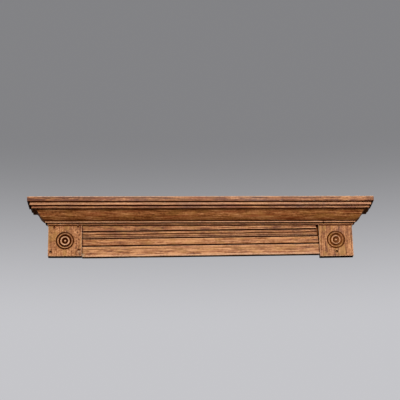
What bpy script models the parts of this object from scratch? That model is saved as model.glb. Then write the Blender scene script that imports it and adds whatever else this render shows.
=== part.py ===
"""Oak door header: a cap board and a mitred crown moulding above a reeded board and two corner blocks.

Metres, +Z up. The wall is the plane y = 0 and the front faces -Y. The height z = 0 is that of the
right bullseye's centre, and x = 0 is the middle of the header. A moulding's projection is measured out
from the faces of the corner blocks.
"""
import math

import bmesh
import bpy
from mathutils import Matrix, Vector

# Gaps
JOINT_GAP = 0.0003
FRIEZE_END_GAP = 0.0011

# Corner blocks
LENGTH_OVER_BLOCKS = 1.132
BLOCK_WIDTH = 0.125
BLOCK_THICKNESS = 0.028
LEFT_BLOCK_BELOW_CENTRE = 0.0593
RIGHT_BLOCK_BELOW_CENTRE = 0.0631
LEFT_BULLSEYE_DROP = 0.0018
BLOCK_TOP_GAP = 0.0006
BLOCK_ARRIS = 0.0009
RIGHT_BLOCK_TURN = math.radians(1.0)

# Turned bullseye in a block's face, ring by ring from its centre outwards
BUTTON_RADIUS = 0.0050
INNER_GROOVE_WIDTH = 0.0055
INNER_BEAD_WIDTH = 0.0086
MIDDLE_GROOVE_WIDTH = 0.0040
OUTER_BEAD_WIDTH = 0.0072
OUTER_GROOVE_WIDTH = 0.0026
RIM_WIDTH = 0.0008
# Turned bullseye, as depths below the face of its block
INNER_GROOVE_DEPTH = 0.0064
MIDDLE_GROOVE_DEPTH = 0.0062
OUTER_GROOVE_DEPTH = 0.0044
BEAD_TOP_DEPTH = 0.0004
LATHE_CLEARANCE = 0.003
ROSETTE_SIDES = 40
RING_STEPS = 10

# Nail holes in the blocks, as (right of the bullseye's centre, above it)
NAIL_HOLE_RADIUS = 0.0025
NAIL_HOLE_DEPTH = 0.009
NAIL_HOLE_SIDES = 10
LEFT_NAIL_HOLES = ((-0.0520, -0.0430), (0.0516, -0.0360), (-0.0402, 0.0509), (0.0470, 0.0532))
RIGHT_NAIL_HOLES = ((0.0008, -0.0455),)

# Crown moulding: heights of its members, from its foot upwards
CROWN_BOTTOM = 0.0574
FOOT_LIP_HEIGHT = 0.0007
BEAD_RADIUS = 0.0029
BEAD_SPACING = 0.0005
OGEE_QUIRK_HEIGHT = 0.0020
OGEE_BELLY_HEIGHT = 0.0208
OGEE_HOLLOW_HEIGHT = 0.0135
LOWER_FILLET_HEIGHT = 0.0083
UPPER_FILLET_HEIGHT = 0.0129
# Crown moulding: how far each member stands out beyond the one below it
FOOT_BACKING = 0.0008
UPPER_BEAD_STEP = 0.0075
OGEE_QUIRK_STEP = 0.0039
OGEE_BELLY_REACH = 0.0215
OGEE_HOLLOW_REACH = 0.0105
SOFFIT_WIDTH = 0.0142
UPPER_FILLET_STEP = 0.0065
# Crown moulding: how far its curves leave their chords, and the quirk over the upper bead
OGEE_BELLY_BOW = 0.0024
OGEE_HOLLOW_BOW = 0.0012
OGEE_QUIRK_DEPTH = 0.0007
OGEE_STEPS = 8
BEAD_ARC_STEPS = 8
# Crown moulding: its flat back, sprung from a foot on the blocks to a seat under the cap
BACK_FOOT_HEIGHT = 0.0110
TOP_SEAT_WIDTH = 0.0220

# Cap board
CAP_THICKNESS = 0.0185
CAP_OVERHANG = 0.0093
CAP_ARRIS = 0.0012

# Reeded board: heights of its members, from its lower edge upwards
FRIEZE_THICKNESS = 0.0215
FRIEZE_EDGE_RADIUS = 0.0025
LOWER_BAND_HEIGHT = 0.0290
LOWER_BEAD_HEIGHT = 0.0102
LOWER_QUIRK_HEIGHT = 0.0044
MIDDLE_BAND_HEIGHT = 0.0241
MIDDLE_QUIRK_HEIGHT = 0.0034
REED_HEIGHTS = (0.0052, 0.0094, 0.0099)
UPPER_QUIRK_HEIGHT = 0.0030
# Reeded board: depths below its face
SHALLOW_QUIRK_DEPTH = 0.0012
DEEP_QUIRK_DEPTH = 0.0060
REED_TOP_DEPTH = 0.0010
REED_VALLEY_DEPTH = 0.0030
BAND_EDGE_DEPTH = 0.0014
BAND_STEPS = 6
EDGE_STEPS = 5
# Reeded board: how it has slipped, and the wedge sawn off its right end in front of a tongue
FRIEZE_TILT = math.radians(0.66)
FRIEZE_BOTTOM_LEFT = -0.0635
END_WEDGE_START = 0.028
END_WEDGE_ANGLE = math.radians(6.5)
END_TONGUE_THICKNESS = 0.0060
CUTTER_MARGIN = 0.010

# Worked out from the above
HALF_LENGTH = LENGTH_OVER_BLOCKS / 2
BLOCK_CENTRE = HALF_LENGTH - BLOCK_WIDTH / 2
BEADS_HEIGHT = FOOT_LIP_HEIGHT + BEAD_SPACING + 4 * BEAD_RADIUS
OGEE_HEIGHT = OGEE_QUIRK_HEIGHT + OGEE_BELLY_HEIGHT + OGEE_HOLLOW_HEIGHT
CROWN_TOP = CROWN_BOTTOM + BEADS_HEIGHT + OGEE_HEIGHT + LOWER_FILLET_HEIGHT + UPPER_FILLET_HEIGHT
UPPER_BEAD_CENTRE = JOINT_GAP + FOOT_BACKING + UPPER_BEAD_STEP
OGEE_REACH = OGEE_QUIRK_STEP + OGEE_BELLY_REACH + OGEE_HOLLOW_REACH
CROWN_PROJECTION = UPPER_BEAD_CENTRE + OGEE_REACH + SOFFIT_WIDTH + UPPER_FILLET_STEP
CAP_PROJECTION = CROWN_PROJECTION + CAP_OVERHANG
CAP_BOTTOM = CROWN_TOP + JOINT_GAP
CAP_TOP = CAP_BOTTOM + CAP_THICKNESS
MITRE_SHIFT = JOINT_GAP / math.sqrt(2)

# Oak under an orange-brown varnish: name, linear colour, roughness
OAK_CAP = ("oak_cap", (0.330, 0.165, 0.092), 0.46)
OAK_CROWN = ("oak_crown", (0.240, 0.095, 0.034), 0.42)
OAK_FRIEZE = ("oak_frieze", (0.330, 0.135, 0.058), 0.44)
OAK_BLOCK = ("oak_block", (0.320, 0.140, 0.060), 0.48)


def clear_scene():
    for old in list(bpy.data.objects):
        bpy.data.objects.remove(old, do_unlink=True)


def new_collection(name):
    collection = bpy.data.collections.new(name)
    bpy.context.scene.collection.children.link(collection)
    return collection


def oak(kind):
    name, colour, roughness = kind
    material = bpy.data.materials.get(name)
    if material is None:
        material = bpy.data.materials.new(name)
        material.use_nodes = True
        shader = material.node_tree.nodes["Principled BSDF"]
        shader.inputs["Base Color"].default_value = (*colour, 1.0)
        shader.inputs["Roughness"].default_value = roughness
        shader.inputs["Metallic"].default_value = 0.0
    material.diffuse_color = (*colour, 1.0)
    return material


def add_object(name, mesh, collection, kind=None):
    piece = bpy.data.objects.new(name, mesh)
    collection.objects.link(piece)
    if kind is not None:
        mesh.materials.clear()
        mesh.materials.append(oak(kind))
    return piece


def add_cutter(name, mesh, cutters, parent=None):
    cutter = add_object(name, mesh, cutters)
    cutter.parent = parent
    cutter.hide_render = True
    cutter.display_type = "WIRE"
    return cutter


def cut(piece, cutter):
    boolean = piece.modifiers.new(cutter.name, "BOOLEAN")
    boolean.operation = "DIFFERENCE"
    boolean.solver = "EXACT"
    boolean.object = cutter


def bevel(piece, width, segments):
    modifier = piece.modifiers.new("arris", "BEVEL")
    modifier.width = width
    modifier.segments = segments
    modifier.limit_method = "ANGLE"


def box_mesh(name, low, high):
    """A box between two corners."""
    mesh = bpy.data.meshes.new(name)
    bm = bmesh.new()
    bmesh.ops.create_cube(bm, size=1.0)
    size = Vector(high) - Vector(low)
    middle = (Vector(high) + Vector(low)) / 2
    bm.transform(Matrix.Translation(middle) @ Matrix.Diagonal((*size, 1.0)))
    bm.to_mesh(mesh)
    bm.free()
    return mesh


def arc(centre, radius, start, end, steps):
    """Points on a circle, from one angle to another, both included."""
    points = []
    for i in range(steps + 1):
        angle = start + (end - start) * i / steps
        points.append((centre[0] + radius * math.cos(angle), centre[1] + radius * math.sin(angle)))
    return points


def bowed(start, end, bow, steps):
    """An arc over a chord. A positive bow swells to the right of the way from start to end."""
    chord = Vector(end) - Vector(start)
    side = Vector((chord.y, -chord.x)).normalized()
    radius = (chord.length ** 2 / 4 + bow ** 2) / (2 * abs(bow))
    half_angle = math.asin(chord.length / 2 / radius)
    points = []
    for i in range(steps + 1):
        angle = half_angle * (2 * i / steps - 1)
        along = 0.5 + radius * math.sin(angle) / chord.length
        rise = radius * (math.cos(angle) - math.cos(half_angle))
        points.append(tuple(Vector(start) + chord * along + side * math.copysign(rise, bow)))
    return points


def drawn_out(name, outline, low_x, high_x):
    """A closed outline of (projection, height), drawn out along X with its projection towards -Y."""
    curve = bpy.data.curves.new(name, "CURVE")
    curve.dimensions = "2D"
    curve.fill_mode = "BOTH"
    curve.extrude = (high_x - low_x) / 2
    spline = curve.splines.new("POLY")
    spline.points.add(len(outline) - 1)
    for point, (projection, height) in zip(spline.points, outline):
        point.co = (projection, height, 0.0, 1.0)
    spline.use_cyclic_u = True
    guide = bpy.data.objects.new(name, curve)
    bpy.context.scene.collection.objects.link(guide)
    graph = bpy.context.evaluated_depsgraph_get()
    mesh = bpy.data.meshes.new_from_object(guide.evaluated_get(graph))
    mesh.name = name
    bpy.data.objects.remove(guide, do_unlink=True)
    upright = Matrix(((0, 0, -1, (low_x + high_x) / 2), (-1, 0, 0, 0), (0, 1, 0, 0), (0, 0, 0, 1)))
    bm = bmesh.new()
    bm.from_mesh(mesh)
    bmesh.ops.remove_doubles(bm, verts=bm.verts, dist=0.000001)
    bm.transform(upright)
    bmesh.ops.dissolve_limit(bm, angle_limit=0.001, verts=bm.verts, edges=bm.edges)
    bmesh.ops.recalc_face_normals(bm, faces=bm.faces)
    bm.to_mesh(mesh)
    bm.free()
    return mesh


def trim(mesh, point, outward):
    """Cut off what lies beyond a plane and close the cut."""
    bm = bmesh.new()
    bm.from_mesh(mesh)
    everything = bm.verts[:] + bm.edges[:] + bm.faces[:]
    result = bmesh.ops.bisect_plane(
        bm, geom=everything, dist=0.0000001, plane_co=point, plane_no=outward, clear_outer=True)
    rim = [item for item in result["geom_cut"] if isinstance(item, bmesh.types.BMEdge)]
    bmesh.ops.contextual_create(bm, geom=rim)
    bmesh.ops.recalc_face_normals(bm, faces=bm.faces)
    bm.to_mesh(mesh)
    bm.free()


def turned(name, profile, sides):
    """A closed solid turned about its own Z, from a profile that runs down its outer side."""
    mesh = bpy.data.meshes.new(name)
    edges = [(i, i + 1) for i in range(len(profile) - 1)]
    mesh.from_pydata([(radius, 0.0, height) for radius, height in profile], edges, [])
    guide = bpy.data.objects.new(name, mesh)
    bpy.context.scene.collection.objects.link(guide)
    screw = guide.modifiers.new("turn", "SCREW")
    screw.steps = sides
    screw.render_steps = sides
    screw.use_merge_vertices = True
    screw.merge_threshold = 0.00001
    graph = bpy.context.evaluated_depsgraph_get()
    solid = bpy.data.meshes.new_from_object(guide.evaluated_get(graph))
    solid.name = name
    bpy.data.objects.remove(guide, do_unlink=True)
    bpy.data.meshes.remove(mesh)
    return solid


def crown_outline():
    """The crown's section as (projection, height), from its foot up its face and down its back."""
    foot = JOINT_GAP + FOOT_BACKING
    lower_bead = (foot, CROWN_BOTTOM + FOOT_LIP_HEIGHT + BEAD_RADIUS)
    upper_bead = (UPPER_BEAD_CENTRE, lower_bead[1] + 2 * BEAD_RADIUS + BEAD_SPACING)
    ledge = upper_bead[1] + BEAD_RADIUS
    quirk = UPPER_BEAD_CENTRE - OGEE_QUIRK_DEPTH
    ogee_foot = (UPPER_BEAD_CENTRE + OGEE_QUIRK_STEP, ledge + OGEE_QUIRK_HEIGHT)
    ogee_bend = (ogee_foot[0] + OGEE_BELLY_REACH, ogee_foot[1] + OGEE_BELLY_HEIGHT)
    ogee_top = (ogee_bend[0] + OGEE_HOLLOW_REACH, ogee_bend[1] + OGEE_HOLLOW_HEIGHT)
    step = ogee_top[1] + LOWER_FILLET_HEIGHT
    outline = [(JOINT_GAP, CROWN_BOTTOM), (foot, CROWN_BOTTOM)]
    outline += arc(lower_bead, BEAD_RADIUS, -math.pi / 2, math.pi / 2, BEAD_ARC_STEPS)
    outline.append((foot, upper_bead[1] - BEAD_RADIUS))
    outline += arc(upper_bead, BEAD_RADIUS, -math.pi / 2, math.pi / 2, BEAD_ARC_STEPS)
    outline.append((quirk, ledge))
    outline.append((quirk, ogee_foot[1] - OGEE_QUIRK_DEPTH))
    outline += bowed(ogee_foot, ogee_bend, OGEE_BELLY_BOW, OGEE_STEPS)
    outline += bowed(ogee_bend, ogee_top, -OGEE_HOLLOW_BOW, OGEE_STEPS)[1:]
    outline.append((ogee_top[0] + SOFFIT_WIDTH, ogee_top[1]))
    outline.append((ogee_top[0] + SOFFIT_WIDTH, step))
    outline.append((CROWN_PROJECTION, step))
    outline.append((CROWN_PROJECTION, CROWN_TOP))
    outline.append((CROWN_PROJECTION - TOP_SEAT_WIDTH, CROWN_TOP))
    outline.append((JOINT_GAP, CROWN_BOTTOM + BACK_FOOT_HEIGHT))
    return outline


def crown_run(name, low_x, high_x, low_mitre, high_mitre, parts):
    """A length of crown along its own X. An end with mitre 1 grows by its projection, with 0 not."""
    reach = CAP_PROJECTION
    mesh = drawn_out(name, crown_outline(), low_x - reach * low_mitre, high_x + reach * high_mitre)
    if low_mitre:
        trim(mesh, (low_x + MITRE_SHIFT, 0, 0), Vector((-1, 1, 0)))
    if high_mitre:
        trim(mesh, (high_x - MITRE_SHIFT, 0, 0), Vector((1, 1, 0)))
    return add_object(name, mesh, parts, OAK_CROWN)


def make_crown(parts):
    face = -BLOCK_THICKNESS
    front = crown_run("crown_front", -HALF_LENGTH, HALF_LENGTH, 1, 1, parts)
    front.location = (0, face, 0)
    right = crown_run("crown_return_right", 0, BLOCK_THICKNESS, 1, 0, parts)
    right.location = (HALF_LENGTH, face, 0)
    right.rotation_euler.z = math.pi / 2
    left = crown_run("crown_return_left", -BLOCK_THICKNESS, 0, 0, 1, parts)
    left.location = (-HALF_LENGTH, face, 0)
    left.rotation_euler.z = -math.pi / 2


def make_cap(parts):
    half = HALF_LENGTH + CAP_PROJECTION
    front = -BLOCK_THICKNESS - CAP_PROJECTION
    mesh = box_mesh("cap_board", (-half, front, CAP_BOTTOM), (half, 0, CAP_TOP))
    cap = add_object("cap_board", mesh, parts, OAK_CAP)
    bevel(cap, CAP_ARRIS, 2)


def frieze_outline(height):
    """The reeded board's section as (distance from the wall, height above its lower edge)."""
    face = FRIEZE_THICKNESS
    shallow = face - SHALLOW_QUIRK_DEPTH
    deep = face - DEEP_QUIRK_DEPTH
    edge = FRIEZE_EDGE_RADIUS
    outline = [(0.0, 0.0)]
    outline += arc((face - edge, edge), edge, -math.pi / 2, 0, EDGE_STEPS)
    level = LOWER_BAND_HEIGHT
    outline.append((face, level - SHALLOW_QUIRK_DEPTH))
    outline.append((shallow, level))
    outline.append((face, level + SHALLOW_QUIRK_DEPTH))
    level += LOWER_BEAD_HEIGHT
    outline.append((face, level - SHALLOW_QUIRK_DEPTH))
    outline.append((shallow, level))
    outline.append((deep, level + LOWER_QUIRK_HEIGHT / 2))
    level += LOWER_QUIRK_HEIGHT
    band = face - BAND_EDGE_DEPTH
    outline += bowed((band, level), (band, level + MIDDLE_BAND_HEIGHT), BAND_EDGE_DEPTH, BAND_STEPS)
    level += MIDDLE_BAND_HEIGHT
    outline.append((deep, level + MIDDLE_QUIRK_HEIGHT / 2))
    level += MIDDLE_QUIRK_HEIGHT
    valley = face - REED_VALLEY_DEPTH
    swell = REED_VALLEY_DEPTH - REED_TOP_DEPTH
    outline.append((valley, level))
    for reed_height in REED_HEIGHTS:
        outline += bowed((valley, level), (valley, level + reed_height), swell, BAND_STEPS)[1:]
        level += reed_height
    outline.append((deep, level + UPPER_QUIRK_HEIGHT / 2))
    level += UPPER_QUIRK_HEIGHT
    outline.append((shallow, level))
    outline.append((face, level + SHALLOW_QUIRK_DEPTH))
    outline.append((face, height))
    outline.append((0.0, height))
    return outline


def make_frieze(parts, cutters):
    """The reeded board, which climbs to the right. Its ends are cut to the blocks on either side."""
    left = -BLOCK_CENTRE + BLOCK_WIDTH / 2 + FRIEZE_END_GAP
    right = BLOCK_CENTRE - BLOCK_WIDTH / 2 / math.cos(RIGHT_BLOCK_TURN) - JOINT_GAP
    bottom = FRIEZE_BOTTOM_LEFT
    height = (CROWN_TOP - bottom) / math.cos(FRIEZE_TILT) - (right - left) * math.tan(FRIEZE_TILT)
    mesh = drawn_out("frieze_board", frieze_outline(height), -BLOCK_WIDTH, right - left + BLOCK_WIDTH)
    place = Matrix.Translation((left, 0, bottom)) @ Matrix.Rotation(-FRIEZE_TILT, 4, "Y")
    into_board = place.inverted()
    lean = Vector((math.cos(RIGHT_BLOCK_TURN), 0, math.sin(RIGHT_BLOCK_TURN)))
    trim(mesh, into_board @ Vector((left, 0, 0)), into_board.to_3x3() @ Vector((-1, 0, 0)))
    trim(mesh, into_board @ Vector((right, 0, 0)), into_board.to_3x3() @ lean)
    frieze = add_object("frieze_board", mesh, parts, OAK_FRIEZE)
    frieze.location = (left, 0, bottom)
    frieze.rotation_euler.y = -FRIEZE_TILT
    margin = CUTTER_MARGIN
    low = (0, -FRIEZE_THICKNESS - margin, -margin)
    high = (BLOCK_WIDTH / 2, -END_TONGUE_THICKNESS, height + margin)
    wedge = add_cutter("frieze_end_wedge", box_mesh("frieze_end_wedge", low, high), cutters)
    start = bottom + (right - left) * math.sin(FRIEZE_TILT) + END_WEDGE_START
    wedge.location = (right - start * math.tan(RIGHT_BLOCK_TURN), 0, start)
    wedge.rotation_euler.y = -RIGHT_BLOCK_TURN - END_WEDGE_ANGLE
    cut(frieze, wedge)


def half_wave(start_radius, width, base, top):
    """A rounded ring between two radii, going inwards, as points above its base."""
    points = []
    for k in range(RING_STEPS + 1):
        turn = math.pi * k / RING_STEPS
        radius = start_radius - width / 2 * (1 - math.cos(turn))
        points.append((radius, base + (top - base) * math.sin(turn)))
    return points


def rosette_profile():
    """What the lathe takes out of a block's face, as (radius, height), down its outer side."""
    inner_groove = BUTTON_RADIUS + INNER_GROOVE_WIDTH
    inner_bead = inner_groove + INNER_BEAD_WIDTH
    middle_groove = inner_bead + MIDDLE_GROOVE_WIDTH
    outer_bead = middle_groove + OUTER_BEAD_WIDTH
    outer_groove = outer_bead + OUTER_GROOVE_WIDTH
    rim = outer_groove + RIM_WIDTH
    profile = [(0.0, LATHE_CLEARANCE), (rim, LATHE_CLEARANCE), (rim, -BEAD_TOP_DEPTH)]
    profile.append((outer_groove, -OUTER_GROOVE_DEPTH))
    profile += half_wave(outer_bead, OUTER_BEAD_WIDTH, -OUTER_GROOVE_DEPTH, -BEAD_TOP_DEPTH)
    profile[-1] = (middle_groove, -MIDDLE_GROOVE_DEPTH)
    profile += half_wave(inner_bead, INNER_BEAD_WIDTH, -MIDDLE_GROOVE_DEPTH, -BEAD_TOP_DEPTH)
    profile[-1] = (inner_groove, -INNER_GROOVE_DEPTH)
    button = half_wave(BUTTON_RADIUS, 2 * BUTTON_RADIUS, -INNER_GROOVE_DEPTH, -BEAD_TOP_DEPTH)
    profile += button[: RING_STEPS // 2]
    profile.append((0.0, -BEAD_TOP_DEPTH))
    return profile


def nail_hole_mesh(name):
    """A round pin, half of it outside the wood."""
    mesh = bpy.data.meshes.new(name)
    bm = bmesh.new()
    bmesh.ops.create_cone(
        bm, cap_ends=True, segments=NAIL_HOLE_SIDES,
        radius1=NAIL_HOLE_RADIUS, radius2=NAIL_HOLE_RADIUS, depth=2 * NAIL_HOLE_DEPTH)
    bm.to_mesh(mesh)
    bm.free()
    return mesh


def make_block(name, centre, below, turn, nail_holes, parts, cutters):
    """A corner block about its bullseye's centre, which is its own origin."""
    half = BLOCK_WIDTH / 2
    top = (CROWN_TOP - centre[1] - half * math.sin(turn)) / math.cos(turn) - BLOCK_TOP_GAP
    mesh = box_mesh(name, (-half, -BLOCK_THICKNESS, -below), (half, 0, top))
    block = add_object(name, mesh, parts, OAK_BLOCK)
    block.location = (centre[0], 0, centre[1])
    block.rotation_euler.y = -turn
    bevel(block, BLOCK_ARRIS, 2)
    lathe_cut = turned(name + "_rosette", rosette_profile(), ROSETTE_SIDES)
    cutter_meshes = [(lathe_cut, 0.0, 0.0)]
    for i, (right, above) in enumerate(nail_holes):
        cutter_meshes.append((nail_hole_mesh(f"{name}_nail_hole_{i + 1}"), right, above))
    for cutter_mesh, right, above in cutter_meshes:
        cutter = add_cutter(cutter_mesh.name, cutter_mesh, cutters, block)
        cutter.location = (right, -BLOCK_THICKNESS, above)
        cutter.rotation_euler.x = math.pi / 2
        cut(block, cutter)


def main():
    clear_scene()
    parts = new_collection("door_header")
    cutters = new_collection("door_header_cutters")
    make_cap(parts)
    make_crown(parts)
    make_frieze(parts, cutters)
    make_block(
        "corner_block_left", (-BLOCK_CENTRE, -LEFT_BULLSEYE_DROP), LEFT_BLOCK_BELOW_CENTRE, 0.0,
        LEFT_NAIL_HOLES, parts, cutters)
    make_block(
        "corner_block_right", (BLOCK_CENTRE, 0.0), RIGHT_BLOCK_BELOW_CENTRE, RIGHT_BLOCK_TURN,
        RIGHT_NAIL_HOLES, parts, cutters)
    bpy.context.view_layer.update()


main()
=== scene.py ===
"""The oak door header as it looks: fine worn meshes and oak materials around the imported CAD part.

Everything is in the part's own frame: metres, +Z up, the wall is the plane y = 0, the front faces -Y,
x = 0 is the middle of the header and z = 0 is the height of the right bullseye's centre. A moulding's
projection is measured out from the faces of the corner blocks.
"""

import math
import random

import bmesh
import bpy
import numpy as np
from mathutils import Matrix, Vector, noise


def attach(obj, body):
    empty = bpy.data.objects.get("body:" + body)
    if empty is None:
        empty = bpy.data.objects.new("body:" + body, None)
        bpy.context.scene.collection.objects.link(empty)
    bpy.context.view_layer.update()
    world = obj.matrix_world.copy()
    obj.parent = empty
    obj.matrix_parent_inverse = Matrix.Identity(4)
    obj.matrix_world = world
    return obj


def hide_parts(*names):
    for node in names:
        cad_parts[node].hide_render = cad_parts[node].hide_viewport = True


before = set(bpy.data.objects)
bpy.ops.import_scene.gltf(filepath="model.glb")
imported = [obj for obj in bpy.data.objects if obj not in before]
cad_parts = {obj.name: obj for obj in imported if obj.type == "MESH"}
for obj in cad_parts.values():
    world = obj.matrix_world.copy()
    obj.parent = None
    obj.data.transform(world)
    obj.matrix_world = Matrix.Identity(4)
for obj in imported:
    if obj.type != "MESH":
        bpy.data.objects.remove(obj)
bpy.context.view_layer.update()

# Corner blocks
BLOCK_WIDTH = 0.125
BLOCK_THICKNESS = 0.028
LEFT_BLOCK_BELOW_CENTRE = 0.0593
RIGHT_BLOCK_BELOW_CENTRE = 0.0631
LEFT_BULLSEYE_DROP = 0.0018
BLOCK_TOP_GAP = 0.0006
RIGHT_BLOCK_TURN = math.radians(1.0)
LENGTH_OVER_BLOCKS = 1.132
HALF_LENGTH = LENGTH_OVER_BLOCKS / 2
BLOCK_CENTRE = HALF_LENGTH - BLOCK_WIDTH / 2
JOINT_GAP = 0.0003

# Turned bullseye: rings from its centre outwards, and depths below the block's face
BUTTON_RADIUS = 0.0050
INNER_GROOVE_WIDTH = 0.0055
INNER_BEAD_WIDTH = 0.0086
MIDDLE_GROOVE_WIDTH = 0.0040
OUTER_BEAD_WIDTH = 0.0072
OUTER_GROOVE_WIDTH = 0.0026
RIM_WIDTH = 0.0008
INNER_GROOVE_DEPTH = 0.0064
MIDDLE_GROOVE_DEPTH = 0.0062
OUTER_GROOVE_DEPTH = 0.0044
BEAD_TOP_DEPTH = 0.0004
RING_WIDTHS = (
    BUTTON_RADIUS, INNER_GROOVE_WIDTH, INNER_BEAD_WIDTH, MIDDLE_GROOVE_WIDTH,
    OUTER_BEAD_WIDTH, OUTER_GROOVE_WIDTH, RIM_WIDTH)

# Nail holes, as (right of the bullseye's centre, above it)
NAIL_HOLE_RADIUS = 0.0025
NAIL_HOLE_DEPTH = 0.009
LEFT_NAIL_HOLES = ((-0.0520, -0.0430), (0.0516, -0.0360), (-0.0402, 0.0509), (0.0470, 0.0532))
RIGHT_NAIL_HOLES = ((0.0008, -0.0455),)

# Marks on the blocks, as (right of the bullseye's centre, above it, radius, how much lighter, how bare)
# the first mark on each block lightens the bullseye's button: partly wear, partly a painted highlight
LEFT_MARKS = (
    (0.0, 0.0, 0.0045, 0.7, 0.0), (0.0520, -0.0430, 0.0045, 0.10, 0.75),
    (-0.0520, -0.0430, 0.0085, 0.12, 0.0), (0.0300, 0.0450, 0.0150, 0.10, 0.0),
    (-0.0400, 0.0450, 0.0120, -0.15, 0.0), (-0.0560, 0.0000, 0.0200, -0.10, 0.0),
    (0.0520, 0.0450, 0.0120, -0.15, 0.0),
)
RIGHT_MARKS = (
    (0.0, 0.0, 0.0034, 0.5, 0.3), (0.0020, -0.0455, 0.0075, 0.12, 0.0),
    (-0.0480, 0.0400, 0.0200, -0.18, 0.0), (-0.0500, 0.0050, 0.0200, -0.18, 0.0),
    (-0.0480, -0.0350, 0.0180, -0.15, 0.0), (0.0400, -0.0350, 0.0200, 0.08, 0.0),
)

# Crown moulding: heights of its members, from its foot upwards
CROWN_BOTTOM = 0.0574
FOOT_LIP_HEIGHT = 0.0007
BEAD_RADIUS = 0.0029
BEAD_SPACING = 0.0005
OGEE_QUIRK_HEIGHT = 0.0020
OGEE_BELLY_HEIGHT = 0.0208
OGEE_HOLLOW_HEIGHT = 0.0135
LOWER_FILLET_HEIGHT = 0.0083
UPPER_FILLET_HEIGHT = 0.0129
# Crown moulding: how far each member stands out beyond the one below it
FOOT_BACKING = 0.0008
UPPER_BEAD_STEP = 0.0075
OGEE_QUIRK_STEP = 0.0039
OGEE_BELLY_REACH = 0.0215
OGEE_HOLLOW_REACH = 0.0105
SOFFIT_WIDTH = 0.0142
UPPER_FILLET_STEP = 0.0065
OGEE_BELLY_BOW = 0.0024
OGEE_HOLLOW_BOW = 0.0012
OGEE_QUIRK_DEPTH = 0.0007
BACK_FOOT_HEIGHT = 0.0110
TOP_SEAT_WIDTH = 0.0220

# Cap board
CAP_THICKNESS = 0.0185
CAP_OVERHANG = 0.0093

# Reeded board: heights of its members, from its lower edge upwards, and depths below its face
FRIEZE_THICKNESS = 0.0215
FRIEZE_EDGE_RADIUS = 0.0025
FRIEZE_END_GAP = 0.0011
LOWER_BAND_HEIGHT = 0.0290
LOWER_BEAD_HEIGHT = 0.0102
LOWER_QUIRK_HEIGHT = 0.0044
MIDDLE_BAND_HEIGHT = 0.0241
MIDDLE_QUIRK_HEIGHT = 0.0034
REED_HEIGHTS = (0.0052, 0.0094, 0.0099)
UPPER_QUIRK_HEIGHT = 0.0030
SHALLOW_QUIRK_DEPTH = 0.0012
DEEP_QUIRK_DEPTH = 0.0060
REED_TOP_DEPTH = 0.0010
REED_VALLEY_DEPTH = 0.0030
BAND_EDGE_DEPTH = 0.0014
FRIEZE_TILT = math.radians(0.66)
FRIEZE_BOTTOM_LEFT = -0.0635
END_WEDGE_START = 0.028
END_WEDGE_ANGLE = math.radians(6.5)
END_TONGUE_THICKNESS = 0.0060
WEDGE_CUTTER_REACH = 0.02

# Worked out from the above
BEADS_HEIGHT = FOOT_LIP_HEIGHT + BEAD_SPACING + 4 * BEAD_RADIUS
OGEE_HEIGHT = OGEE_QUIRK_HEIGHT + OGEE_BELLY_HEIGHT + OGEE_HOLLOW_HEIGHT
CROWN_TOP = CROWN_BOTTOM + BEADS_HEIGHT + OGEE_HEIGHT + LOWER_FILLET_HEIGHT + UPPER_FILLET_HEIGHT
UPPER_BEAD_CENTRE = JOINT_GAP + FOOT_BACKING + UPPER_BEAD_STEP
OGEE_REACH = OGEE_QUIRK_STEP + OGEE_BELLY_REACH + OGEE_HOLLOW_REACH
CROWN_PROJECTION = UPPER_BEAD_CENTRE + OGEE_REACH + SOFFIT_WIDTH + UPPER_FILLET_STEP
CAP_PROJECTION = CROWN_PROJECTION + CAP_OVERHANG
CAP_BOTTOM = CROWN_TOP + JOINT_GAP
CAP_TOP = CAP_BOTTOM + CAP_THICKNESS
MITRE_SHIFT = JOINT_GAP / math.sqrt(2)

# Fineness of the meshes
STATION_PITCH = 0.0026
OUTLINE_PITCH = 0.0026
BLOCK_OUTLINE_PITCH = 0.0022
ARRIS_STEPS = 4
END_STEPS = 4
ROSETTE_STEPS = 90
BLOCK_FACE_STEPS = 36
BLOCK_SIDE_STEPS = 9
TANGENT_REACH = 0.0002
SHARP_ANGLE = math.radians(38)

# Wear: rounded arrises, the unevenness of the faces, and the sizes of dents, as (least, most); the rubbed
# arrises and ring tops also carry a painted highlight
CORNER_ANGLE = math.radians(35)
CORNER_SHARE = 0.45
ARRIS_RADIUS = 0.0008
BLOCK_CORNER_RADIUS = 0.0015
BLOCK_ARRIS_RADIUS = 0.0011
BLOCK_BACK_ARRIS = 0.0004
BOARD_UNEVENNESS = 0.00012
BOARD_WEAR = 0.00008
BLOCK_UNEVENNESS = 0.00015
EDGE_REACH = 0.0022
DENTED_EDGE = 0.45
DENT_HALF_LENGTHS = (0.0015, 0.006)
DENT_HALF_WIDTHS = (0.0008, 0.0022)
DENT_DEPTH = 0.0001
DEEP_DENT_DEPTH = 0.0007
BUTTON_RUB_AND_HIGHLIGHT_DEPTH = 0.0055
RING_RUB_AND_HIGHLIGHT_DEPTH = 0.0028
OUTER_RING_RUB_AND_HIGHLIGHT = 0.3

# Painted shade and grime: how close by a recess is shut in, and the depths and widths of the painted shade
# and stains on the turned rings and blocks
HOLLOW_REACH = 0.012
HOLLOW_RAYS = 15
HOLLOW_SWEEP = 1.4
RAY_LIFT = 0.0001
OFF_THE_WALL = -0.5
UNDARKENED_DEPTH = 0.0007
BUTTON_UNDARKENED_EXTRA = 0.0020
SHADE_AND_GRIME_DEPTH = 0.0078
OUTER_SHADE_AND_GRIME_DEPTH = 0.0060
RING_SHADE_AND_STAIN = 0.42
RING_SHADE_AND_STAIN_REACH = 0.0080
NAIL_STAIN = 2.0
NAIL_STAIN_REACH = 0.0030
TOWARDS_MIDDLE = 0.7


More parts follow.
